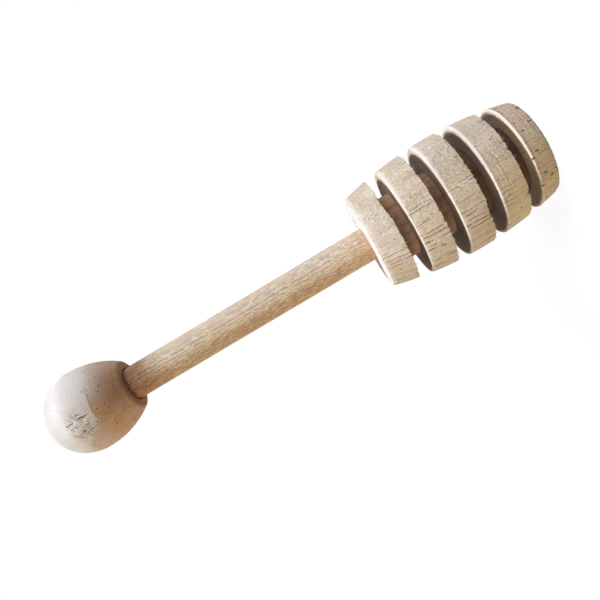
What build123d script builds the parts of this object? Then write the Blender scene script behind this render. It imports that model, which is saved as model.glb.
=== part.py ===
"""Honey dipper: a turned head with honey grooves, a dowel handle and an egg-shaped end knob.

The dipper stands upright on the flat far end of its head, knob up. Z is its turning axis,
and the origin is the centre of that flat end.
"""
from build123d import *
import math
import os

# Head, along the axis, from the flat far end up to the handle
foot_ring_width = 3.85
middle_ring_width = 4.7
neck_ring_width = 4.65
middle_ring_count = 3
groove_width = 2.55

# Head, across the axis
foot_diameter = 17.95
belly_diameter = 22.0
neck_diameter = 17.8
core_diameter = 12.15

# Head edges: broken round on the handle side of each ring, nearly sharp at the far end
ring_edge_rounding = 0.3
foot_edge_rounding = 0.25

# Handle dowel
dowel_diameter = 6.35
dowel_open_length = 51.0
dowel_in_head = 14.0
dowel_in_knob = 9.0
dowel_end_bevel = 0.5

# End knob
knob_length = 17.9
knob_diameter = 16.1
knob_mouth_diameter = 9.6
knob_mouth_rounding = 0.3

# Blind drilled holes for the dowel, and the glue that fills them
head_bore_clearance = 0.1
knob_bore_clearance = 0.2
drill_point_angle = 118.0
head_glue_setback = 0.5
knob_glue_setback = 1.5
cut_overrun = 1.0

# Places that follow from the sizes
ring_widths = [foot_ring_width] + [middle_ring_width] * middle_ring_count + [neck_ring_width]
ring_spans = []
next_ring_start = 0.0
for width in ring_widths:
    ring_spans.append((next_ring_start, next_ring_start + width))
    next_ring_start = next_ring_start + width + groove_width

head_top = ring_spans[-1][1]
knob_mouth = head_top + dowel_open_length
knob_top = knob_mouth + knob_length
knob_equator = knob_top - knob_diameter / 2
dowel_bottom = head_top - dowel_in_head
dowel_top = knob_mouth + dowel_in_knob

dowel_radius = dowel_diameter / 2
head_bore_radius = dowel_radius + head_bore_clearance
knob_bore_radius = dowel_radius + knob_bore_clearance
drill_slope = 1 / math.tan(math.radians(drill_point_angle / 2))
head_bore_tip = dowel_bottom - head_bore_radius * drill_slope
knob_bore_tip = dowel_top + knob_bore_radius * drill_slope


def bore_outline(radius, mouth, shoulder, tip):
    """Half section of a drilled blind hole, from its mouth to the point that the drill left."""
    Polyline((0, mouth), (radius, mouth), (radius, shoulder), (0, tip), close=True)


# Handle dowel
with BuildPart() as handle_dowel:
    with BuildSketch(Plane.XY.offset(dowel_bottom)):
        Circle(dowel_radius)
    extrude(amount=dowel_top - dowel_bottom)
    chamfer(handle_dowel.edges().filter_by(GeomType.CIRCLE), length=dowel_end_bevel)

# Turned head, from its half section: a barrel, honey grooves, broken edges and the drilled hole
with BuildPart() as dipper_head:
    with BuildSketch(Plane.XZ) as head_section:
        with BuildLine():
            Line((0, 0), (foot_diameter / 2, 0))
            ThreePointArc(
                (foot_diameter / 2, 0),
                (belly_diameter / 2, head_top / 2),
                (neck_diameter / 2, head_top),
            )
            Line((neck_diameter / 2, head_top), (0, head_top))
            Line((0, head_top), (0, 0))
        make_face()

        groove_depth = (belly_diameter - core_diameter) / 2 + cut_overrun
        for lower_ring, upper_ring in zip(ring_spans, ring_spans[1:]):
            groove_middle = (lower_ring[1] + upper_ring[0]) / 2
            with Locations((core_diameter / 2, groove_middle)):
                Rectangle(
                    groove_depth,
                    groove_width,
                    align=(Align.MIN, Align.CENTER),
                    mode=Mode.SUBTRACT,
                )

        # The corners lie on levels, in turn at the far end and at the handle side of each ring
        levels = head_section.vertices().group_by(Axis.Y)
        rim_corners = [level.sort_by(Axis.X)[-1] for level in levels]
        fillet(rim_corners[1::2], radius=ring_edge_rounding)
        foot_corner = head_section.vertices().group_by(Axis.Y)[0].sort_by(Axis.X)[-1]
        fillet(foot_corner, radius=foot_edge_rounding)

        with BuildLine():
            bore_outline(head_bore_radius, head_top, dowel_bottom, head_bore_tip)
        make_face(mode=Mode.SUBTRACT)
    revolve(axis=Axis.Z)

# End knob, from its half section: a flat drilled mouth, a swelling flank and a round end
with BuildPart() as end_knob:
    with BuildSketch(Plane.XZ) as knob_section:
        with BuildLine():
            Line((0, knob_mouth), (knob_mouth_diameter / 2, knob_mouth))
            TangentArc(
                (knob_diameter / 2, knob_equator),
                (knob_mouth_diameter / 2, knob_mouth),
                tangent=(0, -1),
            )
            TangentArc((knob_diameter / 2, knob_equator), (0, knob_top), tangent=(0, 1))
            Line((0, knob_top), (0, knob_mouth))
        make_face()

        mouth_corner = knob_section.vertices().group_by(Axis.Y)[0].sort_by(Axis.X)[-1]
        fillet(mouth_corner, radius=knob_mouth_rounding)

        with BuildLine():
            bore_outline(knob_bore_radius, knob_mouth, dowel_top, knob_bore_tip)
        make_face(mode=Mode.SUBTRACT)
    revolve(axis=Axis.Z)

# Glue in the head: it fills the hole's point and the gap around the dowel
with BuildPart() as head_glue:
    with BuildSketch(Plane.XZ):
        with BuildLine():
            head_glue_mouth = head_top - head_glue_setback
            bore_outline(head_bore_radius, head_glue_mouth, dowel_bottom, head_bore_tip)
        make_face()
    revolve(axis=Axis.Z)
    add(handle_dowel.part, mode=Mode.SUBTRACT)

# Glue in the knob: it stops short of the mouth, where the gap around the dowel shows
with BuildPart() as knob_glue:
    with BuildSketch(Plane.XZ):
        with BuildLine():
            knob_glue_mouth = knob_mouth + knob_glue_setback
            bore_outline(knob_bore_radius, knob_glue_mouth, dowel_top, knob_bore_tip)
        make_face()
    revolve(axis=Axis.Z)
    add(handle_dowel.part, mode=Mode.SUBTRACT)

pieces = {
    "dipper_head": dipper_head,
    "handle_dowel": handle_dowel,
    "end_knob": end_knob,
    "head_glue": head_glue,
    "knob_glue": knob_glue,
}

os.makedirs("parts", exist_ok=True)
for piece_name, piece in pieces.items():
    piece.part.label = piece_name
    export_step(piece.part, f"parts/{piece_name}.step")
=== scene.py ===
"""Looks of a small turned wooden honey dipper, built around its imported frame.

Forms are worked out in millimetres, in the frame's own axes, and the finished meshes are in metres.
Z is the turning axis, and the dipper stands on the flat far end of its head, knob up.
"""

import math

import bpy
import numpy as np
from mathutils import Matrix, Vector


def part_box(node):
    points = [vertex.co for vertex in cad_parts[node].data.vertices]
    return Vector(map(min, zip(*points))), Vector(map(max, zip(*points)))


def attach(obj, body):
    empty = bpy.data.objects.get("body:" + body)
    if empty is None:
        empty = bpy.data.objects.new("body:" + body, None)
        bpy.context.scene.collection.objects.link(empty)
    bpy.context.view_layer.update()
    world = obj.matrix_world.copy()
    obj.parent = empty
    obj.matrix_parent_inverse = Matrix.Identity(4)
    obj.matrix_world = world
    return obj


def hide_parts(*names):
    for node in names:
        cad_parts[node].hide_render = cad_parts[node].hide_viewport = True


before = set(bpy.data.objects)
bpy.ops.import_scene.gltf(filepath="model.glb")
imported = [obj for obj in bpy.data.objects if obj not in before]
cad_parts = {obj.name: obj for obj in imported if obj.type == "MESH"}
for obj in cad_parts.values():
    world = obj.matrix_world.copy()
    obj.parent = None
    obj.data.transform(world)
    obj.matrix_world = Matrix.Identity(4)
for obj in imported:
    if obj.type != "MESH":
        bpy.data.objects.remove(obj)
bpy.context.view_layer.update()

MM = 0.001
PER_MM = 1000.0

# Places read from the frame, in millimetres
head_box = [corner * PER_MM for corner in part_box("dipper_head")]
dowel_box = [corner * PER_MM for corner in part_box("handle_dowel")]
knob_box = [corner * PER_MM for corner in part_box("end_knob")]
head_top = head_box[1].z
dowel_bottom = dowel_box[0].z
dowel_top = dowel_box[1].z
dowel_radius = dowel_box[1].x
knob_mouth = knob_box[0].z
knob_top = knob_box[1].z
knob_radius = knob_box[1].x

# Head sizes, from the flat far end up to the handle
ring_widths = (3.85, 4.7, 4.7, 4.7, 4.65)
groove_width = 2.55
foot_radius = 8.975
belly_radius = 11.0
neck_radius = 8.9
core_radius = 6.075
ring_edge_rounding = 0.3
foot_edge_rounding = 0.25
head_bore_radius = 3.275

# The dressed head is kept this far inside the belly of its solid
belly_room = 0.02

# How far the torn part reaches from a ring's far edge, and how much of that has fine steps
far_rim_reach = 0.9
fine_reach = far_rim_reach * 0.7

# The painted highlight band on a ring's handle side: its reach, and how far inside the corner its middle
# lies
near_edge_reach = 1.0
near_edge_inset = 0.1

# The head's two ends have no groove over this length, and its scratches lie this close to the wall
end_band = 0.3
scratch_band = 0.5

# Scratches round the rings: height, middle angle about Z in degrees, and half their length in degrees
ring_scratches = ((8.7, -104.0, 24.0), (0.8, -64.0, 16.0), (1.5, -60.0, 12.0))
scratch_half_width = 0.07

# The stepped chip in the far edge of the ring nearest the handle: angle and half its length in degrees
top_ring_chip = (-64.0, 8.0)

# Knob sizes
knob_mouth_radius = 4.8
knob_mouth_rounding = 0.3
knob_bore_radius = 3.375

# Points on the rounding of the knob's mouth: how far in from its radius, and how far up from its face
knob_mouth_corner = ((0.28, 0.0), (0.14, 0.03), (0.02, 0.13))

# The fine line that the tool left round the mouth's lip: its height over the mouth, depth and half width
lip_line_height = 0.85
lip_line_depth = 0.045
lip_line_width = 0.12

# The ledge of the second cut: its height over the mouth, its slope, and how far it climbs at one side
knob_ledge_height = 5.92
knob_ledge_slope = 0.65
knob_ledge_climb = 4.0

# The ledge stands on one side only: its angle about Z, half its length, and how softly it ends
knob_ledge_facing = (-92.0, 26.0, 0.15)

# Where the flank's colour ends crisply, and where the painted shade lies under the ledge, in the same way
crisp_flank_facing = (-92.0, 22.0, 0.12)
ledge_shade_facing = (-75.0, 34.0, 0.2)

# Cracks in the knob: angle about Z, low end, high end and half width
knob_splits = (
    (-95.1, 90.2, 93.3, 0.11),
    (-96.4, 93.4, 95.7, 0.085),
    (-103.2, 92.8, 95.4, 0.06),
    (-90.2, 91.4, 93.8, 0.05),
    (-112.5, 92.2, 93.4, 0.06),
)

# The cut of a crack is this much wider than the dark line in it
split_cut_width = 1.3

# The knob's torn patch: angle about Z, height, and its reach across and along the grain
knob_patch = (-107.0, 92.9, 4.0, 3.1)

# Loose fibres: length, the two ends of the ways they lie, how far they lean out, and their seed
head_fibres = (0.5, (-0.45, -0.45, -1.2), (0.45, 0.45, -0.5), 0.05, 11)
knob_fibres = (0.6, (-0.3, -0.3, -1.2), (0.3, 0.3, 1.2), 0.3, 31)

# How deep a tooth and a chip of the far edge sink in, and how far a turned face wobbles
tooth_sink = 0.06
chip_sink = 0.14
wobble_depth = 0.05

# One fibre: sides, radius at its two ends, and the least and most that it is scaled by
fibre_sides = 4
fibre_tip_radius = 0.006
fibre_foot_radius = 0.045
fibre_least = (0.5, 0.5, 0.25)
fibre_most = (1.2, 1.2, 1.25)

# Furrows along the dowel; the bold ones are taken from further along, so that they differ
fine_furrows = {"spacing": 0.29, "width": 0.08, "run": 1.8, "share": 1.0, "scatter": 0.6}
bold_furrows = {"spacing": 1.2, "width": 0.1, "run": 3.0, "share": 0.5}
bold_furrow_shift = (0.0, 0.0, 41.0)

dowel_end_bevel = 0.5
drill_point_slope = 1 / math.tan(math.radians(59.0))

# The part of the dowel that can be seen into the head and into the knob's mouth has finer steps
dowel_seen_in_head = 1
dowel_seen_in_knob = 2

# Points round each turned piece, and along the knob and the roundings
points_around = 348
knob_flank_points = 84
knob_dome_points = 96
ring_rounding_points = 7
foot_rounding_points = 5

# Steps between the points of the half sections: fine where grain tears, wide where nothing shows
fine_step = 0.12
core_step = 0.22
open_step = 0.3
wall_step = 0.36
face_step = 0.6
knob_bore_step = 0.7
dowel_end_step = 0.8
drill_point_step = 1.2
hidden_step = 1.5

# Turned edges sharper than this stay crisp, in degrees
crisp_angle = 42

# Masks that the half sections carry, and the gap under which two places count as one
mask_names = ("far_rim", "near_edge", "core", "grooved", "scratched")
same_place = 0.01

# Points of the seam and of the axis that are closer than this are joined
seam_gap = 0.001

# Camera at the photograph's place and angle, worked out from the ring edges and the dowel's sides
camera_place = Vector((-2.88, -112.67, 39.88)) * MM
camera_right = Vector((-0.509, 0.0692, -0.858))
camera_up = Vector((0.8607, 0.0369, -0.5077))
camera_lens = 37.0
camera_sensor = 36.0


def add_object(name, data):
    """A new object in the scene, at the origin."""
    added = bpy.data.objects.new(name, data)
    bpy.context.scene.collection.objects.link(added)
    return added


# Node helpers

class Flow:
    """What one output of a node gives, with plain arithmetic on it in the same tree."""

    def __init__(self, socket):
        self.socket = socket
        self.tree = socket.id_data

    def __add__(self, other):
        return maths("ADD", self, other)

    def __sub__(self, other):
        return maths("SUBTRACT", self, other)

    def __rsub__(self, other):
        return maths("SUBTRACT", other, self)

    def __mul__(self, other):
        return maths("MULTIPLY", self, other)

    def __truediv__(self, other):
        return maths("DIVIDE", self, other)

    def __rtruediv__(self, other):
        return maths("DIVIDE", other, self)

    __radd__ = __add__
    __rmul__ = __mul__


class Outputs:
    """A node's outputs, by name or number."""

    def __init__(self, node):
        self.tree = node.id_data
        self.sockets = node.outputs

    def __getitem__(self, key):
        return Flow(self.sockets[key])


def give(socket, value):
    """Links a flow to a socket, or sets the socket's own value."""
    if isinstance(value, Flow):
        socket.id_data.links.new(value.socket, socket)
    else:
        socket.default_value = value


def put(tree, kind, inputs=None, **settings):
    """Adds one node, with its settings and its inputs by name or number, and returns its outputs."""
    node = tree.nodes.new(kind)
    for name, value in settings.items():
        setattr(node, name, value)
    for key, value in (inputs or {}).items():
        give(node.inputs[key], value)
    return Outputs(node)


def maths(operation, *values, **settings):
    """One step of arithmetic, in the tree of the first value that flows."""
    tree = next(value.tree for value in values if isinstance(value, Flow))
    return put(tree, "ShaderNodeMath", dict(enumerate(values)), operation=operation, **settings)[0]


def largest(*values):
    """The largest of two or more values."""
    most = values[0]
    for value in values[1:]:
        most = maths("MAXIMUM", most, value)
    return most


def vectors(operation, first, second=None):
    """Vector arithmetic; a scale's second value goes to its own socket."""
    inputs = {0: first}
    if second is not None:
        inputs["Scale" if operation == "SCALE" else 1] = second
    made = put(first.tree, "ShaderNodeVectorMath", inputs, operation=operation)
    return made["Value" if operation in ("LENGTH", "DOT_PRODUCT") else "Vector"]


def parts(vector):
    """The three parts of a vector or a colour."""
    split = put(vector.tree, "ShaderNodeSeparateXYZ", {0: vector})
    return split["X"], split["Y"], split["Z"]


def ramp(value, low, high, bottom=0.0, top=1.0):
    """A smooth step from bottom to top as the value goes from low to high."""
    inputs = {"Value": value, "From Min": low, "From Max": high, "To Min": bottom, "To Max": top}
    return put(value.tree, "ShaderNodeMapRange", inputs, interpolation_type="SMOOTHSTEP")["Result"]


def noise(place, scale, detail=2.0, roughness=0.5, output="Fac"):
    inputs = {"Vector": place, "Scale": scale, "Detail": detail, "Roughness": roughness}
    return put(place.tree, "ShaderNodeTexNoise", inputs)[output]


def line_noise(along, detail):
    """Noise along one line."""
    inputs = {"W": along, "Scale": 1.0, "Detail": detail}
    return put(along.tree, "ShaderNodeTexNoise", inputs, noise_dimensions="1D")["Fac"]


def stretched(place, across, along):
    """The place with its own scale across the grain and along it."""
    return vectors("MULTIPLY", place, (across, across, along))


def drifted(place, amount, scale, detail=2.0, along=1.0):
    """The place, moved about by up to half an amount each way."""
    drift = noise(stretched(place, 1.0, along), scale, detail, output="Color")
    return vectors("ADD", place, vectors("SCALE", vectors("SUBTRACT", drift, (0.5, 0.5, 0.5)), amount))


def off_axis(place):
    """How far a place lies from the axis."""
    return vectors("LENGTH", stretched(place, 1.0, 0.0))


def outward_at(place):
    """The direction straight out from the axis."""
    return vectors("NORMALIZE", stretched(place, 1.0, 0.0))


def toward(vector, direction):
    """How much of a vector points a given way."""
    return vectors("DOT_PRODUCT", vector, direction)


def around_axis(angle):
    """The level direction at an angle about Z, in degrees."""
    return (math.cos(math.radians(angle)), math.sin(math.radians(angle)), 0.0)


def facing(outward, angle, half_angle, softness=0.03):
    """1 where the surface faces an angle about Z, within half an angle either side, in degrees."""
    edge = math.cos(math.radians(half_angle))
    return ramp(toward(outward, around_axis(angle)), edge - softness, edge + softness)


def srgb(red, green, blue):
    """A colour written as 0 to 255 on the screen, as the linear colour that nodes use."""
    shares = [value / 255 for value in (red, green, blue)]
    linear = [v / 12.92 if v <= 0.04045 else ((v + 0.055) / 1.055) ** 2.4 for v in shares]
    return (*linear, 1.0)


def mixed(share, first, second, blend="MIX"):
    """One colour over another, by a share from 0 to 1. A colour may be written as 0 to 255."""
    first, second = [srgb(*tone) if isinstance(tone, tuple) else tone for tone in (first, second)]
    inputs = {0: share, 6: first, 7: second}
    return put(share.tree, "ShaderNodeMix", inputs, data_type="RGBA", blend_type=blend)[2]


# One line's breaks are taken this many steps of the noise away from the next line's
between_lines = 90.0


def axis_lines(place, spacing, width, run, share, at_radius, scatter=1.0):
    """Broken lines along the axis, scattered round it; sizes in millimetres, spacing at one radius."""
    sway = noise(stretched(place, 0.25, 0.1), 1.0, 1.0)
    x, y, height = parts(place)
    arc = maths("ARCTAN2", x, y * -1.0) * at_radius / spacing + sway * 0.6
    inputs = {"W": arc, "Scale": 1.0, "Randomness": scatter}
    cells = put(place.tree, "ShaderNodeTexVoronoi", inputs, voronoi_dimensions="1D")
    breadth, start, rank = parts(cells["Color"])
    gap = cells["Distance"] * spacing / (width * ramp(breadth, 0.0, 1.0, 0.5, 1.3))
    breaks = line_noise(height / run + start * between_lines, 2.0)
    return ramp(gap, 1.0, 0.4) * ramp(breaks, 0.42, 0.5) * maths("LESS_THAN", rank, share)


# The kind of a group's socket, by its first value; None stands for geometry
socket_kinds = {
    float: "NodeSocketFloat",
    int: "NodeSocketInt",
    tuple: "NodeSocketVector",
    type(None): "NodeSocketGeometry",
}


def new_group(name, kind, inputs):
    """Starts a node group with named inputs, and returns what they give."""
    group = bpy.data.node_groups.new(name, kind)
    for socket_name, value in inputs.items():
        socket_kind = socket_kinds[type(value)]
        socket = group.interface.new_socket(socket_name, in_out="INPUT", socket_type=socket_kind)
        if value is not None:
            socket.default_value = value
    return put(group, "NodeGroupInput")


def new_effect(name, sizes):
    """Starts a shader group that takes the place on the wood and its own named sizes."""
    return new_group(name, "ShaderNodeTree", {"Place": (0.0, 0.0, 0.0), **sizes})


def end_group(outputs):
    """Ends a node group with its named outputs: numbers in a shader group, otherwise geometry."""
    group = next(iter(outputs.values())).tree
    kind = "NodeSocketFloat" if group.bl_idname == "ShaderNodeTree" else "NodeSocketGeometry"
    for socket_name in outputs:
        group.interface.new_socket(socket_name, in_out="OUTPUT", socket_type=kind)
    put(group, "NodeGroupOutput", outputs)
    return group


def use_group(tree, group, inputs):
    """Places a group in a tree, with its own values."""
    kind = "ShaderNodeGroup" if tree.bl_idname == "ShaderNodeTree" else "GeometryNodeGroup"
    return put(tree, kind, inputs, node_tree=group)


# Half sections: each piece's outline from the axis round to the axis, as radius and height

def circle_through(first, middle, last):
    """Centre and radius of the circle through three points."""
    (ax, ay), (bx, by), (cx, cy) = first, middle, last
    double_area = 2 * (ax * (by - cy) + bx * (cy - ay) + cx * (ay - by))
    a2, b2, c2 = ax * ax + ay * ay, bx * bx + by * by, cx * cx + cy * cy
    x = (a2 * (by - cy) + b2 * (cy - ay) + c2 * (ay - by)) / double_area
    y = (a2 * (cx - bx) + b2 * (ax - cx) + c2 * (bx - ax)) / double_area
    return x, y, math.hypot(ax - x, ay - y)


barrel_x, barrel_z, barrel_arc = circle_through(
    (foot_radius, 0), (belly_radius, head_top / 2), (neck_radius, head_top)
)


def barrel_radius(height):
    return barrel_x + math.sqrt(barrel_arc ** 2 - (height - barrel_z) ** 2)


def straight(start, end, step):
    """Points from start up to, but not with, end, about a step apart."""
    count = max(1, round(math.dist(start, end) / step))
    return [
        (start[0] + (end[0] - start[0]) * i / count, start[1] + (end[1] - start[1]) * i / count)
        for i in range(count)
    ]


def path(start, *legs):
    """Points along straight legs, each given as its end and its step, without the last end."""
    points = []
    for end, step in legs:
        points += straight(start, end, step)
        start = end
    return points


def rounded(centre, radius, first_angle, last_angle, count):
    """Points along a rounding, angles in degrees from straight out towards up."""
    angles = np.radians(np.linspace(first_angle, last_angle, count))
    return [(centre[0] + radius * math.cos(a), centre[1] + radius * math.sin(a)) for a in angles]


ring_spans = []
for ring_width in ring_widths:
    start = ring_spans[-1][1] + groove_width if ring_spans else 0.0
    ring_spans.append((start, start + ring_width))


def ring_wall(start, end):
    """The wall of one ring, from its far corner to the rounding on its handle side."""
    fine_end = start + fine_reach
    high = end - ring_edge_rounding
    heights = [*np.arange(start, fine_end, fine_step), *np.arange(fine_end, high, wall_step)]
    for height, *_ in ring_scratches:
        if start < height < end:
            near = (height - scratch_half_width, height, height + scratch_half_width)
            heights = [z for z in heights if abs(z - height) > 2 * scratch_half_width] + [*near]
    wall = [(barrel_radius(z), z) for z in sorted(heights)]
    centre = (barrel_radius(end) - ring_edge_rounding, high)
    return wall + rounded(centre, ring_edge_rounding, 0, 90, ring_rounding_points)


def head_outline():
    foot_flat = foot_radius - foot_edge_rounding
    outline = straight((0, 0), (foot_flat, 0), face_step)
    for index, (start, end) in enumerate(ring_spans):
        if index == 0:
            centre = (foot_flat, foot_edge_rounding)
            outline += rounded(centre, foot_edge_rounding, -90, -10, foot_rounding_points)
            start = foot_edge_rounding
        else:
            rim = barrel_radius(start)
            legs = (((rim - fine_reach, start), face_step), ((rim, start), fine_step))
            outline += path((core_radius, start), *legs)
        outline += ring_wall(start, end)
        if index < len(ring_spans) - 1:
            legs = (((core_radius, end), face_step), ((core_radius, end + groove_width), core_step))
            outline += path(outline.pop(), *legs)
    tip = dowel_bottom - head_bore_radius * drill_point_slope
    bore = (
        ((head_bore_radius, head_top), face_step),
        ((head_bore_radius, dowel_bottom), hidden_step),
        ((0, tip), drill_point_step),
    )
    outline += path(outline.pop(), *bore)
    return outline + [(0, tip)]


def dowel_outline():
    flat = dowel_radius - dowel_end_bevel
    legs = (
        ((flat, dowel_bottom), dowel_end_step),
        ((dowel_radius, dowel_bottom + dowel_end_bevel), dowel_end_step),
        ((dowel_radius, head_top - dowel_seen_in_head), hidden_step),
        ((dowel_radius, knob_mouth + dowel_seen_in_knob), open_step),
        ((dowel_radius, dowel_top - dowel_end_bevel), hidden_step),
        ((flat, dowel_top), dowel_end_step),
        ((0, dowel_top), dowel_end_step),
    )
    return path((0, dowel_bottom), *legs) + [(0, dowel_top)]


def knob_outline():
    equator = knob_top - knob_radius
    rise = equator - knob_mouth
    inset = knob_radius - knob_mouth_radius
    flank_arc = (rise * rise + inset * inset) / (2 * inset)
    flank_x = knob_radius - flank_arc
    mouth_angle = math.degrees(math.asin(rise / flank_arc))
    trim = math.degrees(knob_mouth_rounding / flank_arc)
    flank = rounded((flank_x, equator), flank_arc, trim - mouth_angle, 0, knob_flank_points)
    dome = rounded((0, equator), knob_radius, 0, 90, knob_dome_points)[1:]
    corner = [(knob_mouth_radius - inward, knob_mouth + up) for inward, up in knob_mouth_corner]
    tip = dowel_top + knob_bore_radius * drill_point_slope
    bore = (
        ((knob_bore_radius, dowel_top), drill_point_step),
        ((knob_bore_radius, knob_mouth), knob_bore_step),
        (corner[0], open_step),
    )
    outline = path((0, tip), *bore) + corner + [turned_mark(r, z) for r, z in flank] + dome
    outline[-1] = (0, knob_top)
    return outline


def turned_mark(radius, height):
    """The knob's flank, with the fine line that the tool left round the mouth's lip."""
    below_line = knob_mouth + lip_line_height - height
    return radius - lip_line_depth * math.exp(-(below_line / lip_line_width) ** 2), height


def nearness(outline, corners, reach):
    """1 at the corners, falling to 0 a reach away from them."""
    points = np.array(outline)
    gaps = [np.hypot(*(points - np.array(corner)).T) for corner in corners]
    return np.clip(1 - np.min(gaps, axis=0) / reach, 0, 1)


def groove_depth(radius, height):
    """How far under the barrel a point lies, in millimetres, and 0 at the head's two ends."""
    inside = min(height, head_top - height)
    return max(barrel_radius(height) - radius, 0) * min(max((inside - end_band) / end_band, 0), 1)


def is_core(radius, height):
    return float(abs(radius - core_radius) < same_place and height < ring_spans[-1][0])


def is_scratch(radius, height):
    at_scratch = any(abs(height - level) < same_place for level, *_ in ring_scratches)
    return float(radius > foot_radius - scratch_band and at_scratch)


def head_masks(outline):
    """Where the head's outline is torn, broken round, core, groove or scratched."""
    far_corners = [(barrel_radius(low), low) for low, high in ring_spans[1:]] + [(foot_radius, 0.0)]
    inset = near_edge_inset
    near_corners = [(barrel_radius(high) - inset, high - inset) for low, high in ring_spans]
    return {
        "far_rim": nearness(outline, far_corners, far_rim_reach),
        "near_edge": nearness(outline, near_corners, near_edge_reach),
        "core": [is_core(r, z) for r, z in outline],
        "grooved": [groove_depth(r, z) for r, z in outline],
        "scratched": [is_scratch(r, z) for r, z in outline],
    }


def half_section(name, outline, masks):
    """A chain of points in the X and Z plane that carries the masks as attributes."""
    mesh = bpy.data.meshes.new(name)
    points = [(radius * MM, 0.0, height * MM) for radius, height in outline]
    mesh.from_pydata(points, [(i, i + 1) for i in range(len(points) - 1)], [])
    for mask_name, values in masks.items():
        mesh.attributes.new(mask_name, "FLOAT", "POINT").data.foreach_set("value", values)
    return add_object(name, mesh)


# Geometry Nodes: turning a half section, and the marks that cutting leaves

def own_place(tree):
    return put(tree, "GeometryNodeInputPosition")["Position"]


def place_mm(tree):
    return vectors("SCALE", own_place(tree), PER_MM)


def carried(tree, name):
    """A mask that the half section carries."""
    return put(tree, "GeometryNodeInputNamedAttribute", {"Name": name}, data_type="FLOAT")["Attribute"]


def store(geometry, name, value):
    inputs = {"Geometry": geometry, "Name": name, "Value": value}
    return put(geometry.tree, "GeometryNodeStoreNamedAttribute", inputs, data_type="FLOAT")[0]


def make_turned_group():
    """Turns a half section about Z, and carries its masks round."""
    sizes = {"Half section": None, "Around": points_around}
    get = new_group("turned_surface", "GeometryNodeTree", sizes)
    tree, section, around = get.tree, get["Half section"], get["Around"]
    count = put(tree, "GeometryNodeAttributeDomainSize", {"Geometry": section})["Point Count"]
    grid = {"Vertices X": around + 1.0, "Vertices Y": count}
    surface = put(tree, "GeometryNodeMeshGrid", grid)["Mesh"]
    index = put(tree, "GeometryNodeInputIndex")["Index"]
    row = maths("MODULO", index, count)
    turn = (index - row) / count / around * math.tau

    def along_section(value, data_type):
        """The half section's value at the point that a row of the surface comes from."""
        inputs = {"Geometry": section, "Value": value, "Index": row}
        return put(tree, "GeometryNodeSampleIndex", inputs, data_type=data_type)["Value"]

    radius, _, height = parts(along_section(own_place(tree), "FLOAT_VECTOR"))
    corner = {"X": radius * maths("COSINE", turn), "Y": radius * maths("SINE", turn), "Z": height}
    turned = put(tree, "ShaderNodeCombineXYZ", corner)["Vector"]
    for name in mask_names:
        surface = store(surface, name, along_section(carried(tree, name), "FLOAT"))
    surface = put(tree, "GeometryNodeSetPosition", {"Geometry": surface, "Position": turned})[0]
    inputs = {"Geometry": surface, "Distance": seam_gap * MM}
    return end_group({"Surface": put(tree, "GeometryNodeMergeByDistance", inputs)[0]})


def shift(geometry, outward, radial_mm, lift_mm):
    """Moves points along their outward direction and along Z, by amounts in millimetres."""
    up = put(geometry.tree, "ShaderNodeCombineXYZ", {"Z": lift_mm})["Vector"]
    offset = vectors("SCALE", vectors("ADD", vectors("SCALE", outward, radial_mm), up), MM)
    return put(geometry.tree, "GeometryNodeSetPosition", {"Geometry": geometry, "Offset": offset})[0]


def random_vector(tree, least, most, seed):
    inputs = {0: least, 1: most, "Seed": seed}
    return put(tree, "FunctionNodeRandomValue", inputs, data_type="FLOAT_VECTOR")[0]


def with_fibres(surface, where, per_mm2, outward, length_mm, low, high, lean, seed):
    """The surface with thin pointed fibres of torn wood, each its own mix of two ways, leaning out."""
    tree = surface.tree
    inputs = {"Mesh": surface, "Density": per_mm2 * where * PER_MM ** 2, "Seed": seed}
    points = put(tree, "GeometryNodeDistributePointsOnFaces", inputs, distribute_method="RANDOM")
    sizes = {
        "Vertices": fibre_sides,
        "Radius Top": fibre_tip_radius * MM,
        "Radius Bottom": fibre_foot_radius * MM,
        "Depth": length_mm * MM,
    }
    fibre = store(put(tree, "GeometryNodeMeshCone", sizes)["Mesh"], "torn", 1.0)
    way = vectors("ADD", random_vector(tree, low, high, seed + 1), vectors("SCALE", outward, lean))
    turn = put(tree, "FunctionNodeAlignRotationToVector", {"Vector": way}, axis="Z")["Rotation"]
    size = random_vector(tree, fibre_least, fibre_most, seed + 2)
    inputs = {"Points": points["Points"], "Instance": fibre, "Rotation": turn, "Scale": size}
    placed = put(tree, "GeometryNodeInstanceOnPoints", inputs)["Instances"]
    fibres = put(tree, "GeometryNodeRealizeInstances", {0: placed})[0]
    join = tree.nodes.new("GeometryNodeJoinGeometry")
    give(join.inputs[0], surface)
    give(join.inputs[0], fibres)
    return Flow(join.outputs[0])


def hold_inside(geometry, widest, lowest, highest):
    """Brings back any point that stands outside the piece's own size."""
    place = place_mm(geometry.tree)
    height = parts(place)[2]
    inward = maths("MINIMUM", widest - off_axis(place), 0.0)
    held = maths("MINIMUM", largest(height, lowest), highest)
    return shift(geometry, outward_at(place), inward, held - height)


def start_cut(name, turned_group, sizes):
    """Starts a piece's tree: its named sizes, its turned surface, and the place in millimetres."""
    get = new_group(name, "GeometryNodeTree", {"Geometry": None, **sizes})
    inputs = {"Half section": get["Geometry"], "Around": points_around}
    return get, use_group(get.tree, turned_group, inputs)["Surface"], place_mm(get.tree)


def end_cut(geometry, material):
    inputs = {"Geometry": geometry, "Material": material}
    return end_group({"Geometry": put(geometry.tree, "GeometryNodeSetMaterial", inputs)[0]})


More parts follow.
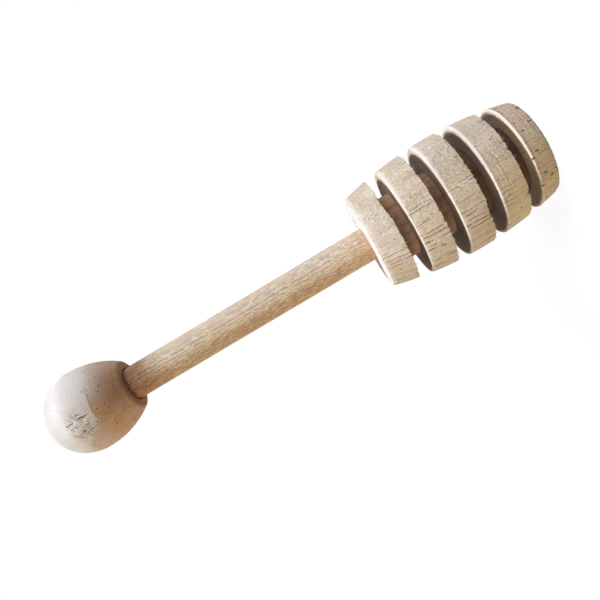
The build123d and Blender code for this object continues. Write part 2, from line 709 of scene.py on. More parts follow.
def make_head_tree(turned_group, material, sizes):
    get, surface, place = start_cut("head_cut", turned_group, sizes)
    tree = get.tree
    height = parts(place)[2]
    outward = outward_at(place)
    far_rim = carried(tree, "far_rim")
    off_foot = ramp(height, 1.5, 2.0)

    # Fibres break out where the cutter leaves each ring's far edge, some of them in larger chips
    tooth = noise(stretched(place, 1.0, 0.1), 2.6, 3.0, 0.7)
    chip = ramp(noise(stretched(place, 1.0, 0.3), 0.55), 0.58, 0.7)
    on_top_ring = maths("GREATER_THAN", height, ring_spans[-2][1])
    chip = largest(chip, facing(outward, *top_ring_chip) * on_top_ring)
    rough = far_rim * ramp(tooth, 0.4, 0.66)
    notch = far_rim * chip * ramp(tooth, 0.36, 0.56)
    lift = rough * get["Tooth"] * (0.35 - off_foot) + notch * get["Chip"]
    sink = rough * tooth_sink + notch * chip_sink

    # The core is torn in short steps along the grain
    step = ramp(noise(stretched(place, 1.0, 0.16), 1.5), 0.48, 0.56)
    wobble = noise(place, 0.12, 1.0) * wobble_depth
    sink = sink + carried(tree, "core") * step * get["Core tear"] + wobble

    # Scratches that something hard left round the rings
    window = largest(
        *[
            facing(outward, angle, half) * maths("COMPARE", height, level, 2 * scratch_half_width)
            for level, angle, half in ring_scratches
        ]
    )
    broken = ramp(noise(stretched(place, 1.0, 0.0), 0.6), 0.34, 0.44)
    scratch = window * broken * carried(tree, "scratched")
    sink = sink + scratch * get["Scratch"]

    surface = store(surface, "torn", largest(rough, notch))
    surface = store(surface, "scratched", scratch)
    surface = shift(surface, outward, sink * -1.0, lift)

    clump = ramp(noise(stretched(place, 1.0, 0.2), 0.55), 0.48, 0.66)
    where = maths("GREATER_THAN", far_rim, 0.6) * off_foot * (clump + 0.12)
    surface = with_fibres(surface, where, get["Fibres per mm2"], outward, *head_fibres)
    return end_cut(hold_inside(surface, belly_radius - belly_room, 0.0, head_top), material)


def make_dowel_tree(turned_group, material, sizes):
    """Fine and bold furrows along the grain, and a slight wave along the stock."""
    get, surface, place = start_cut("dowel_cut", turned_group, sizes)
    fine = axis_lines(place, at_radius=dowel_radius, **fine_furrows)
    further = vectors("ADD", place, bold_furrow_shift)
    bold = axis_lines(further, at_radius=dowel_radius, **bold_furrows)
    furrow = largest(fine * 0.8, bold)
    wave = noise(stretched(place, 0.2, 1.0), 0.35)
    sink = furrow * get["Furrow"] + wave * get["Wave"]
    surface = store(surface, "furrow", furrow)
    return end_cut(shift(surface, outward_at(place), sink * -1.0, 0.0), material)


def split_mask(place, angle, low, high, half_width):
    """A crack along the grain: its angle about Z in degrees, its two ends and its half width."""
    way = around_axis(angle)
    bend = (noise(place, 0.9) - 0.5) * 0.3
    across = toward(place, (-way[1], way[0], 0.0)) + bend
    near_side = ramp(toward(place, way), 0.0, 1.0)
    along = (parts(place)[2] - (low + high) / 2) / ((high - low) / 2)
    taper = ramp(maths("ABSOLUTE", along), 1.0, 0.4)
    depth = largest(1.0 - maths("ABSOLUTE", across) / (taper * half_width), 0.0)
    return depth * near_side * taper


def all_splits(place, widen):
    masks = [split_mask(place, a, low, high, w * widen) for a, low, high, w in knob_splits]
    return largest(*masks)


def patch_mask(place, angle, height, reach_across, reach_along):
    """A soft oval on the knob, about the torn patch's middle."""
    x, y, _ = around_axis(angle)
    gap = vectors("SUBTRACT", place, (knob_radius * x, knob_radius * y, height))
    gap = vectors("DIVIDE", gap, (reach_across, reach_across, reach_along))
    return ramp(vectors("LENGTH", gap), 1.0, 0.45)


def under_ledge(place, outward):
    """How far a point lies under the ledge, which slopes round the knob and climbs at one side."""
    sway = parts(outward)[0]
    line = maths("MULTIPLY_ADD", sway, -knob_ledge_slope, knob_mouth + knob_ledge_height)
    return line + ramp(sway, -0.3, -0.85, 0.0, knob_ledge_climb) - parts(place)[2]


def make_knob_tree(turned_group, material, sizes):
    get, surface, place = start_cut("knob_cut", turned_group, sizes)
    radius = off_axis(place)
    outward = outward_at(place)
    outside = ramp(radius, knob_bore_radius + 0.1, knob_bore_radius + 0.6)

    # The torn patch with its splits, and a slight wobble of the whole turned surface
    patch = patch_mask(place, *knob_patch)
    torn = noise(stretched(place, 1.0, 0.22), 2.8, 2.0, 0.6)
    raised = (torn - 0.55) * get["Torn patch"] * patch
    cut = all_splits(place, split_cut_width) * get["Split depth"]
    wobble = noise(place, 0.2) * wobble_depth * ramp(radius, 1.0, 3.5)

    # A second cut left a low ledge at one side of the flank, and it runs out towards the mouth
    under = under_ledge(place, outward)
    fade = maths("EXPONENT", under * -0.4)
    ledge = ramp(under, 0.0, 0.12) * fade * facing(outward, *knob_ledge_facing)
    out = raised - cut - wobble - ledge * get["Ledge"]
    surface = store(surface, "torn", patch * 0.9)
    surface = shift(surface, outward, out * outside, 0.0)

    where = patch * ramp(torn, 0.5, 0.62)
    surface = with_fibres(surface, where, get["Fibres per mm2"], outward, *knob_fibres)
    return end_cut(hold_inside(surface, knob_radius, knob_mouth, knob_top), material)


def turn_piece(piece, tree, sizes):
    """Runs the piece's tree and keeps the result as a plain mesh."""
    modifier = piece.modifiers.new("cut", "NODES")
    modifier.node_group = tree
    for item in tree.interface.items_tree:
        if item.in_out == "INPUT" and item.name in sizes:
            modifier[item.identifier] = sizes[item.name]
    graph = bpy.context.evaluated_depsgraph_get()
    made = bpy.data.meshes.new_from_object(
        piece.evaluated_get(graph), preserve_all_data_layers=True, depsgraph=graph
    )
    made.name = piece.name
    piece.modifiers.clear()
    piece.data = made
    made.shade_smooth()
    made.set_sharp_from_angle(angle=math.radians(crisp_angle))


# Shader groups that the woods share

def scattered(place, get, size, least, most, dimensions):
    """Spots scattered about: the distance from one in its own radii, its tint, and whether it is there."""
    inputs = {"Vector": vectors("SCALE", place, 1.0 / get["Spacing"]), "Scale": 1.0}
    cells = put(place.tree, "ShaderNodeTexVoronoi", inputs, voronoi_dimensions=dimensions)
    breadth, tint, rank = parts(cells["Color"])
    gap = cells["Distance"] * get["Spacing"] / (get[size] * ramp(breadth, 0.0, 1.0, least, most))
    return gap, tint, maths("LESS_THAN", rank, get["Share"])


def make_vessel_group():
    """Open vessels of the wood: thin tubes along Z that a turned face cuts into dashes and dots."""
    sizes = {"Spacing": 0.6, "Bore": 0.08, "Wander": 0.6, "Run": 2.5, "Share": 0.7}
    get = new_effect("wood_vessels", sizes)
    place = drifted(get["Place"], get["Wander"], 0.22, 1.0)
    gap, tint, present = scattered(place, get, "Bore", 0.55, 1.35, "2D")
    breaks = line_noise(parts(place)[2] / get["Run"] + tint * between_lines, 1.0)
    mask = ramp(gap, 1.0, 0.5) * ramp(breaks, 0.44, 0.54) * present
    return end_group({"Mask": mask, "Tint": tint})


def make_grain_group():
    """Long soft streaks, growth bands and fine fuzz of raw wood."""
    sizes = {"Streak scale": 3.0, "Band width": 2.2, "Pith": (-24.0, 18.0, 0.0)}
    get = new_effect("wood_grain", sizes)
    place = get["Place"]
    streak = noise(stretched(place, 1.0, 0.045), get["Streak scale"], 3.0, 0.6)
    warp = noise(stretched(place, 1.0, 0.2), 0.11) * 3.0
    from_pith = stretched(vectors("SUBTRACT", place, get["Pith"]), 1.0, 0.03)
    band = line_noise((vectors("LENGTH", from_pith) + warp) / get["Band width"], 2.0)
    fuzz = noise(stretched(place, 1.0, 0.5), 3.4, 4.0, 0.75)
    return end_group({"Streak": streak, "Band": band, "Fuzz": fuzz})


def make_turning_group():
    """Fine rings that the cutting tool left round the work, in patches."""
    get = new_effect("turning_marks", {"Rings per mm": 4.0})
    rings = noise(stretched(get["Place"], 0.03, 1.0), get["Rings per mm"], 2.0, 0.6)
    return end_group({"Height": rings * ramp(noise(get["Place"], 0.16), 0.42, 0.62)})


def make_lines_group():
    """Thin dark lines of open grain along the axis."""
    sizes = {"Spacing": 0.9, "Width": 0.08, "Run": 4.0, "Share": 0.8, "At radius": 10.0, "Scatter": 1.0}
    get = new_effect("grain_lines", {**sizes, "Waver": 0.0})
    place = drifted(get["Place"], get["Waver"], 0.7, along=0.8)
    return end_group({"Mask": axis_lines(place, *[get[name] for name in sizes])})


def make_torn_group():
    """Short pits and raised flecks where the tool tore the grain instead of cutting it."""
    get = new_effect("torn_grain", {"Fleck size": 0.35, "Cover": 0.5})
    flecks = noise(stretched(get["Place"], 1.0, 0.55), 1.0 / get["Fleck size"], 3.0, 0.7)
    start_at = 0.62 - get["Cover"] * 0.25
    patches = noise(stretched(get["Place"], 1.0, 0.6), 0.24)
    patches = ramp(patches, start_at, start_at + 0.12)
    pit = ramp(flecks, 0.42, 0.34) * patches
    return end_group({"Height": (flecks - 0.5) * patches, "Pit": pit})


def make_pit_group():
    """Small round pits, scattered over the surface, each with a thin ring round it for a painted
    highlight.
    """
    sizes = {"Spacing": 1.0, "Radius": 0.2, "Length": 1.5, "Share": 0.8, "Raggedness": 0.25}
    get = new_effect("surface_pits", sizes)
    squash = put(get.tree, "ShaderNodeCombineXYZ", {0: 1.0, 1: 1.0, 2: 1.0 / get["Length"]})["Vector"]
    place = vectors("MULTIPLY", drifted(get["Place"], get["Raggedness"], 3.0), squash)
    gap, _, present = scattered(place, get, "Radius", 0.6, 1.4, "3D")
    pit = ramp(gap, 1.0, 0.6) * present
    rim = maths("SUBTRACT", ramp(gap, 1.9, 1.3) * present, pit, use_clamp=True)
    return end_group({"Pit": pit, "Rim": rim})


# The three woods: sizes for the shared groups, colours as 0 to 255, and how strongly each mark shows

head_look = {
    "grain": {"Streak scale": 2.6, "Band width": 2.6, "Pith": (-26.0, 14.0, 0.0)},
    "vessels": {"Spacing": 0.85, "Bore": 0.095, "Wander": 0.8, "Run": 0.9, "Share": 0.7},
    "lines": {"Spacing": 0.95, "Width": 0.09, "Run": 3.6, "Share": 0.78, "At radius": 10.5, "Waver": 0.35},
    "torn": {"Fleck size": 0.3, "Cover": 0.8},
    "pale": (237, 224, 207),
    "tan": (229, 211, 187),
    "warm": (221, 199, 168),
    "streak": (186, 155, 122),
    "vessel": (112, 62, 32),
    "vessel_warm": (160, 100, 54),
    "line": (122, 64, 30),
    "band_share": 1.0,
    "blotch_share": 0.6,
    "streak_share": 0.4,
    "mottle": 0.18,
    "vessel_depth": 0.85,
    "line_depth": 1.0,
    "cut_relief": 0.3,
    "fuzz_relief": 0.8,
    "torn_relief": 3.2,
}
dowel_look = {
    "grain": {"Streak scale": 6.0, "Band width": 1.3, "Pith": (14.0, 9.0, 0.0)},
    "vessels": {"Spacing": 0.5, "Bore": 0.06, "Wander": 0.3, "Run": 1.2, "Share": 0.5},
    "lines": {
        "Spacing": 0.25,
        "Width": 0.048,
        "Run": 2.2,
        "Share": 1.0,
        "At radius": 3.1,
        "Scatter": 0.7,
        "Waver": 0.06,
    },
    "torn": {"Fleck size": 0.3, "Cover": 0.5},
    "pale": (246, 228, 202),
    "tan": (239, 215, 182),
    "warm": (228, 198, 156),
    "streak": (198, 156, 110),
    "vessel": (120, 82, 52),
    "vessel_warm": (150, 106, 64),
    "line": (146, 96, 56),
    "band_share": 0.3,
    "blotch_share": 0.2,
    "streak_share": 0.12,
    "mottle": 0.21,
    "vessel_depth": 0.4,
    "line_depth": 0.8,
    "cut_relief": 0.6,
    "fuzz_relief": 0.8,
    "torn_relief": 1.5,
}
knob_look = {
    "grain": {"Streak scale": 2.2, "Band width": 3.0, "Pith": (20.0, 16.0, 0.0)},
    "vessels": {"Spacing": 0.8, "Bore": 0.075, "Wander": 0.7, "Run": 0.7, "Share": 0.6},
    "lines": {"Spacing": 1.3, "Width": 0.07, "Run": 1.6, "Share": 0.4, "At radius": 7.0},
    "torn": {"Fleck size": 0.4, "Cover": 0.1},
    "pale": (242, 237, 236),
    "tan": (234, 226, 220),
    "warm": (228, 216, 205),
    "streak": (190, 162, 134),
    "vessel": (112, 78, 54),
    "vessel_warm": (146, 104, 72),
    "line": (150, 112, 84),
    "band_share": 1.0,
    "blotch_share": 0.5,
    "streak_share": 0.12,
    "mottle": 0.06,
    "vessel_depth": 0.5,
    "line_depth": 0.4,
    "cut_relief": 1.0,
    "fuzz_relief": 0.5,
    "torn_relief": 1.0,
}

# Tones laid over the head, as 0 to 255 on the screen
# Painted highlight on raised torn flecks
fleck_highlight = (254, 249, 238)
# Painted sunlight on the second ring and the foot's painted lit side; the far sides are warmer
sun_far_side = (252, 231, 188)
sun_lit_side = (246, 229, 212)
foot_far_side = (226, 197, 150)
foot_lit_side = (236, 205, 184)
neck_ring_tone = (239, 226, 219)
# Painted highlight and painted shade of torn grain
fibre_highlight = (255, 250, 240)
hollow_shade_brown = (150, 110, 74)
torn_edge_pale = (240, 229, 210)
near_edge_highlight = (244, 237, 234)
foot_pore = (96, 60, 38)
neck_pore = (158, 102, 58)
pore_rim_highlight = (246, 238, 226)
# Painted highlight along each ring's handle-side edge
scratch_pale = (244, 236, 222)
# Painted shade of the grooves
groove_shade_brown = (104, 72, 66)
neck_face_pale = (246, 241, 242)
# Painted shade, painted light and painted warm bounce on the grooves' core; the seam tone is the core's
# own torn grain
core_deep_shade = (74, 44, 32)
core_light_shade = (192, 156, 132)
core_sunlit = (214, 168, 136)
core_warm_bounce = (204, 160, 128)
core_seam = (74, 46, 36)

# Tones laid over the dowel
furrow_brown = (158, 100, 58)
# Painted warm bounce, painted lit side, painted shadow of the knob and painted shade at the neck
dowel_bounce_tone = (252, 242, 230)
dowel_sunlit_tone = (250, 242, 232)
knob_shadow_tone = (211, 182, 166)
neck_shade_tone = (226, 218, 212)

# Tones laid over the knob
# Painted light on the knob's lit side, and painted shade on its cap
knob_painted_light = (252, 250, 252)
knob_cap_shade = (213, 209, 207)
# The flank's brown is partly its own tone and partly painted shade; the ledge brown is painted shade
flank_brown_and_shade = (213, 167, 120)
ledge_shade_brown = (162, 104, 62)
knob_pore = (126, 78, 48)
knob_pore_rim_highlight = (240, 222, 198)
# Painted shade in the torn patch's troughs, and one tone for its painted ridge highlights and pale loose
# flakes
trough_shade_brown = (162, 110, 80)
ridge_highlight_and_flake_pale = (254, 250, 244)
split_brown = (106, 56, 42)

# Tones of the glue
glue_yellow = (206, 184, 130)
glue_brown = (186, 158, 100)


def new_material(name):
    """A new material; returns it with its shader and the place in millimetres."""
    material = bpy.data.materials.new(name)
    material.use_nodes = True
    tree = material.node_tree
    place = vectors("SCALE", put(tree, "ShaderNodeTexCoord")["Object"], PER_MM)
    return material, tree.nodes["Principled BSDF"], place


def attribute(place, name):
    """A mask that the mesh carries, in the tree of the place or of the colour."""
    return put(place.tree, "ShaderNodeAttribute", attribute_name=name)["Fac"]


def wood_colour(place, groups, look, lined=1.0, torn_share=1.0, vesselled=1.0):
    """Raw wood's colour, relief and streaks from the shared groups, with one wood's own values."""
    grain, vessels, lines, torn = [
        use_group(place.tree, groups[kind], {"Place": place, **look[kind]})
        for kind in ("grain", "vessels", "lines", "torn")
    ]
    colour = mixed(ramp(grain["Band"], 0.35, 0.68) * look["band_share"], look["pale"], look["tan"])
    blotch = ramp(noise(stretched(place, 1.0, 0.35), 0.3), 0.42, 0.66)
    colour = mixed(blotch * look["blotch_share"], colour, look["warm"])
    streak = ramp(grain["Streak"], 0.5, 0.72)
    colour = mixed(streak * look["streak_share"], colour, look["streak"])
    mottle = ramp(grain["Fuzz"], 0.3, 0.7, 1.0 - look["mottle"], 1.0 + look["mottle"])
    colour = vectors("SCALE", colour, mottle)
    colour = mixed(torn["Pit"] * torn_share * 0.35, colour, look["streak"])
    line = lines["Mask"] * lined * look["line_depth"]
    colour = mixed(line, colour, look["line"])
    dark = mixed(ramp(vessels["Tint"], 0.5, 0.8), look["vessel"], look["vessel_warm"])
    vessel = vessels["Mask"] * vesselled * look["vessel_depth"]
    colour = mixed(vessel, colour, dark)
    relief = grain["Fuzz"] * look["fuzz_relief"] + torn["Height"] * torn_share * look["torn_relief"]
    relief = relief - largest(vessel, line) * look["cut_relief"]
    return colour, relief, grain["Streak"]


def finish_wood(shader, colour, relief, relief_mm, roughness, specular):
    """Gives a wood its colour, its fine relief and how it shines."""
    give(shader.inputs["Base Color"], colour)
    bump(shader, relief, relief_mm)
    shader.inputs["Roughness"].default_value = roughness
    shader.inputs["Specular IOR Level"].default_value = specular


def bump(shader, height, distance_mm):
    inputs = {"Height": height, "Distance": distance_mm * MM, "Strength": 1.0}
    give(shader.inputs["Normal"], put(height.tree, "ShaderNodeBump", inputs)["Normal"])


# Level directions: where light falls into the grooves past the ring above, and the sides where each wood's
# painted light falls
groove_lit_side = (0.82, -0.57, 0.0)
dowel_bounce_side = (-0.9, -0.43, 0.0)
dowel_sunlit_side = (0.8, -0.6, 0.0)
knob_lit_side = (0.77, -0.64, 0.0)


def head_length_tones(colour, relief, x, height):
    """Painted highlights on raised torn flecks, painted sunlight on the second ring, and the browner foot,
    each with a warmer far side and a paler painted lit side; and the cooler neck ring.
    """
    fleck_highlight_share = ramp(relief, 0.75, 1.15) * ramp(height, 29.0, 14.0, 0.2, 0.75)
    colour = mixed(fleck_highlight_share, colour, fleck_highlight)
    sunlit = ramp(height, 12.5, 8.0, 0.0, 0.55) - ramp(height, 6.0, 3.0, 0.0, 0.4)
    sun_tone = mixed(ramp(x, -6.0, 6.0), sun_far_side, sun_lit_side)
    colour = mixed(sunlit, colour, sun_tone)
    foot_tone = mixed(ramp(x, -3.0, 6.0), foot_far_side, foot_lit_side)
    colour = mixed(ramp(height, 8.0, 3.0, 0.0, 0.4), colour, foot_tone)
    return mixed(ramp(height, 25.0, 29.0, 0.0, 0.25), colour, neck_ring_tone)


def torn_wall_tones(colour, place, torn_share, height):
    """Torn grain seen close to: painted highlights on short fibres, with painted shade in the hollows
    between them.
    """
    roughened = noise(stretched(place, 1.0, 0.7), 3.4, 2.0, 0.6)
    torn_wall = torn_share * ramp(height, 30.0, 20.0, 0.25, 1.0)
    colour = mixed(ramp(roughened, 0.54, 0.63, 0.0, 0.36) * torn_wall, colour, fibre_highlight)
    return mixed(ramp(roughened, 0.45, 0.35, 0.0, 0.28) * torn_wall, colour, hollow_shade_brown)


def ring_edge_tones(colour, toward_light, height):
    """Torn far edges are paler; the band along each ring's rounded handle side is a painted highlight,
    wider at the lit side.
    """
    colour = mixed(attribute(colour, "torn") * 0.5, colour, torn_edge_pale)
    # The band is a painted highlight; it starts closer to the edge at the lit side
    edge_start = ramp(toward_light, 0.55, 1.0, 0.62, 0.22)
    near_edge = ramp(attribute(colour, "near_edge") - edge_start, 0.0, 0.45, 0.0, 0.6)
    near_edge = near_edge * ramp(toward_light, -0.1, 0.8, 1.2, 1.0) * ramp(height, 4.5, 9.0, 0.7, 1.0)
    return mixed(near_edge, colour, near_edge_highlight)


def head_speck_tones(colour, place, groups, height):
    """Dark pores with painted highlight rings, larger and darker towards the foot, and the scratches."""
    inputs = {
        "Place": place,
        "Spacing": 0.95,
        "Radius": ramp(height, 16.0, 6.0, 0.14, 0.19),
        "Length": 2.4,
        "Share": 0.8,
    }
    specks = use_group(place.tree, groups["pits"], inputs)
    speck = mixed(ramp(height, 6.0, 16.0), foot_pore, neck_pore)
    colour = mixed(specks["Pit"] * ramp(height, 5.0, 12.0, 0.8, 0.7), colour, speck)
    colour = mixed(specks["Rim"] * 0.3, colour, pore_rim_highlight)
    return mixed(attribute(place, "scratched") * 0.12, colour, scratch_pale)


def groove_shade_tones(colour, light_in_groove, toward_light, height):
    """The grooves' painted shade: darker walls, less dark at the lit side, and less at the foot than
    higher up.
    """
    widest = ramp(height, 5.0, 12.0, 0.85, 1.15)
    lit_side = ramp(toward_light, 0.3, 1.0, 0.34, widest)
    grooved = ramp(attribute(colour, "grooved") - lit_side, 0.0, 0.35)
    grooved = grooved * ramp(height, 3.0, 14.0, 0.46, 0.72) * ramp(toward_light, 0.2, -0.6, 1.0, 1.2)
    grooved = grooved * ramp(light_in_groove, 0.0, 1.0, 1.0, 0.62)
    return mixed(grooved, colour, groove_shade_brown)


def core_shade_tones(colour, place, light_in_groove, toward_light, height):
    """The core's painted shade: deep in the far grooves, lighter towards the neck, painted light where the
    light reaches in at the lit side, a painted warm bounce at the far side, and torn seams.
    """
    core = mixed(ramp(height, 8.0, 24.0), core_deep_shade, core_light_shade)
    core = mixed(light_in_groove, core, core_sunlit)
    warm_bounce_share = ramp(toward_light, 0.0, -0.7) * ramp(height, 12.0, 20.0, 0.0, 0.6)
    core = mixed(warm_bounce_share, core, core_warm_bounce)
    seams = ramp(noise(stretched(place, 1.0, 0.12), 1.5), 0.5, 0.62, 0.0, 0.36)
    core = mixed(seams, core, core_seam)
    return mixed(attribute(place, "core") * ramp(height, 6.0, 12.0, 0.86, 0.74), colour, core)


def make_head_wood(groups):
    material, shader, place = new_material("head_wood")
    x, _, height = parts(place)
    lined = ramp(x, 5.0, -1.5, 0.15, 1.0)
    torn_share = ramp(x, -4.0, 3.0, 0.25, 1.0) * ramp(height, 3.8, 6.5, 0.4, 1.0)
    vesselled = largest(ramp(x, 4.0, -3.0, 0.3, 1.0), ramp(height, 6.0, 4.0))
    colour, relief, _ = wood_colour(place, groups, head_look, lined, torn_share, vesselled)
    toward_light = toward(outward_at(place), groove_lit_side)
    # Where the key light reaches into the grooves at the lit side: less painted shade there, and painted
    # light on the core
    light_in_groove = ramp(toward_light, 0.6, 0.97) * ramp(height, 12.0, 24.0)
    colour = head_length_tones(colour, relief, x, height)
    colour = torn_wall_tones(colour, place, torn_share, height)
    colour = ring_edge_tones(colour, toward_light, height)
    colour = head_speck_tones(colour, place, groups, height)
    # Painted shade in the grooves, by their depth
    colour = groove_shade_tones(colour, light_in_groove, toward_light, height)
    colour = mixed(ramp(height, head_top - 0.3, head_top - 0.05, 0.0, 0.6), colour, neck_face_pale)
    colour = core_shade_tones(colour, place, light_in_groove, toward_light, height)
    marks = use_group(place.tree, groups["turning"], {"Place": place, "Rings per mm": 3.2})["Height"]
    finish_wood(shader, colour, relief + marks * 0.7, 0.1, 0.72, 0.3)
    return material


def make_dowel_wood(groups):
    material, shader, place = new_material("dowel_wood")
    colour, relief, streak = wood_colour(place, groups, dowel_look)
    colour = mixed(attribute(place, "furrow") * 0.5, colour, furrow_brown)

    # Painted light and shade: a painted warm bounce at one side, a paler painted lit side at the other,
    # and painted shade close to the knob and to the head
    outward = outward_at(place)
    height = parts(place)[2]
    bounce_share = ramp(toward(outward, dowel_bounce_side), 0.3, 0.95)
    colour = mixed(bounce_share, colour, dowel_bounce_tone, "MULTIPLY")
    sunlit_share = ramp(toward(outward, dowel_sunlit_side), 0.6, 1.0, 0.0, 0.25)
    colour = mixed(sunlit_share, colour, dowel_sunlit_tone)
    near_knob = ramp(height, knob_mouth - 10.0, knob_mouth - 1.0)
    colour = mixed(near_knob, colour, knob_shadow_tone, "MULTIPLY")
    near_neck = ramp(height, head_top + 5.0, head_top + 0.5)
    colour = mixed(near_neck, colour, neck_shade_tone, "MULTIPLY")
    finish_wood(shader, colour, relief + streak, 0.07, 0.68, 0.32)
    return material


def knob_flank_tones(colour, place, outward, under, height):
    """The cut flank under the ledge is browner, partly its own tone and partly painted shade, less at the
    lit side; crisp at the ledge's side, ragged elsewhere. Painted light brightens the lit side, painted
    shade greys the cap and lies under the ledge.
    """
    crisp = facing(outward, *crisp_flank_facing)
    soft = ramp(crisp, 0.0, 1.0, 1.3, 0.16)
    ragged = (noise(place, 1.1, 3.0) - 0.5) * soft
    flank = ramp((under + ragged * 1.4) / soft, -0.8, 0.8)
    toward_knob_light = toward(outward, knob_lit_side)
    lit_side_fade = ramp(toward_knob_light, 0.62, 0.97, 0.0, 0.8) * ramp(under, 6.0, 0.0)
    cloud = ramp(noise(stretched(place, 1.0, 0.6), 0.5, 3.0), 0.35, 0.65, 0.74, 0.94)
    height_fade = ramp(height, knob_mouth + 5.0, knob_mouth + 9.0, 1.0, 0.5)
    browned_and_shaded = (1.0 - lit_side_fade) * cloud * height_fade
    # Painted light on the lit side above the flank
    knob_light_share = ramp(toward_knob_light, 0.3, 0.95, 0.0, 0.4) * (1.0 - flank)
    colour = mixed(knob_light_share, colour, knob_painted_light)
    # Painted shade greys the top of the dome
    colour = mixed(ramp(height, 95.5, 98.5), colour, knob_cap_shade)
    colour = mixed(flank * browned_and_shaded, colour, flank_brown_and_shade)
    # Painted shade under the ledge
    ledge_shade = facing(outward, *ledge_shade_facing) * ramp(under, 0.3, 4.0, 0.0, 0.42)
    return mixed(ledge_shade * flank, colour, ledge_shade_brown)


def knob_torn_tones(colour, strokes, torn):
    """Painted shade in the torn patch's troughs and painted highlights on its ridges, and its pale loose
    flakes.
    """
    trough_shade = ramp(strokes, 0.47, 0.38) * torn
    colour = mixed(trough_shade * 0.65, colour, trough_shade_brown)
    highlight_and_flake = largest(ramp(strokes, 0.53, 0.6) * torn, ramp(torn, 0.92, 1.0))
    return mixed(highlight_and_flake * 0.65, colour, ridge_highlight_and_flake_pale)


def make_knob_wood(groups):
    material, shader, place = new_material("knob_wood")
    lined = ramp(off_axis(place), 3.5, 6.5)
    colour, relief, _ = wood_colour(place, groups, knob_look, lined)
    outward = outward_at(place)
    under = under_ledge(place, outward)
    colour = knob_flank_tones(colour, place, outward, under, parts(place)[2])

    # Small pores with painted highlight rings, fewer above the ledge
    inputs = {"Place": place, "Spacing": 0.66, "Radius": 0.145, "Length": 1.4, "Share": 0.85}
    pits = use_group(place.tree, groups["pits"], inputs)
    pitted = ramp(under, -1.5, 0.5, 0.25, 1.0)
    pit = pits["Pit"] * pitted
    colour = mixed(pit * 0.65, colour, knob_pore)
    colour = mixed(pits["Rim"] * pitted * 0.2, colour, knob_pore_rim_highlight)

    torn = attribute(place, "torn")
    strokes = noise(stretched(place, 1.0, 0.25), 2.6, 3.0, 0.7)
    colour = knob_torn_tones(colour, strokes, torn)
    colour = mixed(ramp(all_splits(place, 1.0), 0.0, 0.5, 0.0, 0.9), colour, split_brown)
    marks = use_group(place.tree, groups["turning"], {"Place": place, "Rings per mm": 2.4})["Height"]
    relief = relief - pit * 0.8 + (strokes - 0.5) * torn * 7.0 + marks * 0.5
    finish_wood(shader, colour, relief, 0.06, 0.62, 0.35)
    return material


def make_glue():
    """Cured wood glue: yellowish and slightly cloudy."""
    material, shader, place = new_material("cured_glue")
    cloud = ramp(noise(place, 1.2, 3.0), 0.35, 0.65)
    give(shader.inputs["Base Color"], mixed(cloud, glue_yellow, glue_brown))
    give(shader.inputs["Roughness"], ramp(cloud, 0.0, 1.0, 0.3, 0.5))
    bump(shader, noise(place, 3.0), 0.05)
    return material


# Stage, light and camera

WHITE = (1, 1, 1, 1)


def light_switch(tree, seen, unseen):
    """One shader for the camera and for mirror and clear rays, another for all other rays."""
    ray = put(tree, "ShaderNodeLightPath")
    straight_on = largest(ray["Is Camera Ray"], ray["Is Glossy Ray"], ray["Is Transmission Ray"])
    return put(tree, "ShaderNodeMixShader", {0: straight_on, 1: unseen, 2: seen})["Shader"]


def make_floor():
    """A white table top that keeps the dipper's shadow."""
    half = 6.0
    mesh = bpy.data.meshes.new("floor")
    corners = [(-half, -half, 0), (half, -half, 0), (half, half, 0), (-half, half, 0)]
    mesh.from_pydata(corners, [], [(0, 1, 2, 3)])
    floor = add_object("floor", mesh)
    material = bpy.data.materials.new("floor")
    material.use_nodes = True
    tree = material.node_tree
    tree.nodes.remove(tree.nodes["Principled BSDF"])
    glow = put(tree, "ShaderNodeEmission", {"Color": WHITE, "Strength": 0.94})[0]
    matt = put(tree, "ShaderNodeBsdfDiffuse", {"Color": (0.06, 0.06, 0.06, 1)})[0]
    seen = put(tree, "ShaderNodeAddShader", {0: glow, 1: matt})[0]
    warm = put(tree, "ShaderNodeBsdfDiffuse", {"Color": (0.12, 0.09, 0.07, 1)})[0]
    give(tree.nodes["Material Output"].inputs["Surface"], light_switch(tree, seen, warm))
    mesh.materials.append(material)


def make_world():
    """White behind the object, and soft warm fill light all round."""
    world = bpy.data.worlds.new("studio")
    world.use_nodes = True
    tree = world.node_tree
    tree.nodes.clear()
    seen = put(tree, "ShaderNodeBackground", {"Color": WHITE, "Strength": 1.0})[0]
    fill = put(tree, "ShaderNodeBackground", {"Color": (1.0, 0.85, 0.66, 1), "Strength": 0.12})[0]
    put(tree, "ShaderNodeOutputWorld", {"Surface": light_switch(tree, seen, fill)})
    bpy.context.scene.world = world


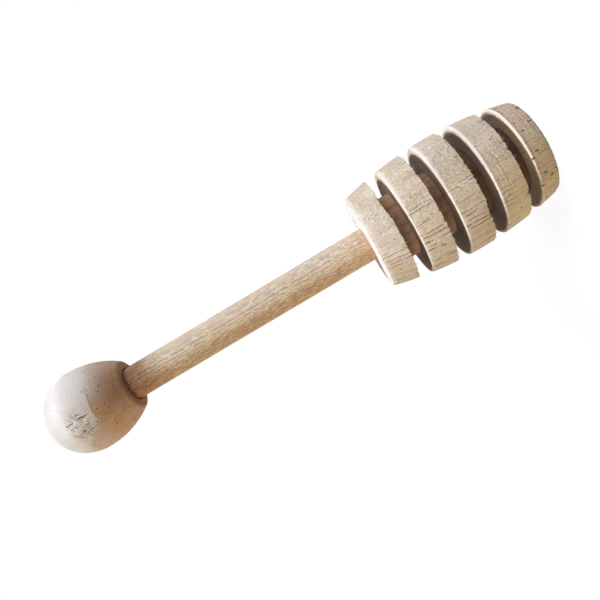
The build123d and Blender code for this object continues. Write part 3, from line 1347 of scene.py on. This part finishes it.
def make_lights():
    """A cool lamp high over the knob's side, and two weaker warm ones low at the sides."""
    # Name, direction towards the lamp, strength, colour, and its width in degrees
    lamps = (
        ("key", (0.30, -0.30, 0.91), 2.95, (0.93, 1.0, 1.10), 13),
        ("near_side", (0.85, -0.42, 0.32), 1.33, (1.0, 0.99, 0.97), 40),
        ("far_side", (-0.90, -0.35, 0.25), 1.55, (1.0, 0.865, 0.64), 40),
    )
    for name, direction, strength, colour, width in lamps:
        data = bpy.data.lights.new(name, "SUN")
        data.energy = strength
        data.color = colour
        data.angle = math.radians(width)
        lamp = add_object(name, data)
        lamp.rotation_euler = Vector(direction).to_track_quat("Z", "Y").to_euler()


def make_camera():
    data = bpy.data.cameras.new("photo_view")
    data.sensor_width = camera_sensor
    data.lens = camera_lens
    data.clip_start = 0.005
    camera = add_object("photo_view", data)
    back = camera_right.cross(camera_up).normalized()
    up = back.cross(camera_right).normalized()
    turn = Matrix((camera_right.normalized(), up, back)).transposed().to_4x4()
    camera.matrix_world = Matrix.Translation(camera_place) @ turn
    bpy.context.scene.camera = camera


# The pieces

groups = {
    "grain": make_grain_group(),
    "vessels": make_vessel_group(),
    "turning": make_turning_group(),
    "lines": make_lines_group(),
    "torn": make_torn_group(),
    "pits": make_pit_group(),
}
turned_group = make_turned_group()
glue = make_glue()

head_sizes = {"Tooth": 0.3, "Chip": 0.45, "Core tear": 0.06, "Scratch": 0.02, "Fibres per mm2": 6.0}
dowel_sizes = {"Furrow": 0.05, "Wave": 0.09}
knob_sizes = {"Torn patch": 0.45, "Split depth": 0.2, "Ledge": 0.04, "Fibres per mm2": 8.0}

# Each turned piece's slot, outline, two makers and sizes, by the node that it replaces
plans = {
    "dipper_head": ("head_wood", head_outline(), make_head_wood, make_head_tree, head_sizes),
    "handle_dowel": ("dowel_wood", dowel_outline(), make_dowel_wood, make_dowel_tree, dowel_sizes),
    "end_knob": ("knob_wood", knob_outline(), make_knob_wood, make_knob_tree, knob_sizes),
}
for node, (slot_name, outline, make_wood, make_tree, sizes) in plans.items():
    name = "turned_" + node
    wood = make_wood(groups)
    masks = head_masks(outline) if node == "dipper_head" else {}
    piece = half_section(name, outline, masks)
    turn_piece(piece, make_tree(turned_group, wood, sizes), sizes)
    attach(piece, "root")
    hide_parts(node)
    print(name, "triangles", sum(len(face.vertices) - 2 for face in piece.data.polygons))

for node_name in ("head_glue", "knob_glue"):
    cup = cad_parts[node_name]
    cup.data.materials.clear()
    cup.data.materials.append(glue)

make_floor()
make_world()
make_lights()
make_camera()
bpy.context.scene.view_settings.view_transform = "Standard"
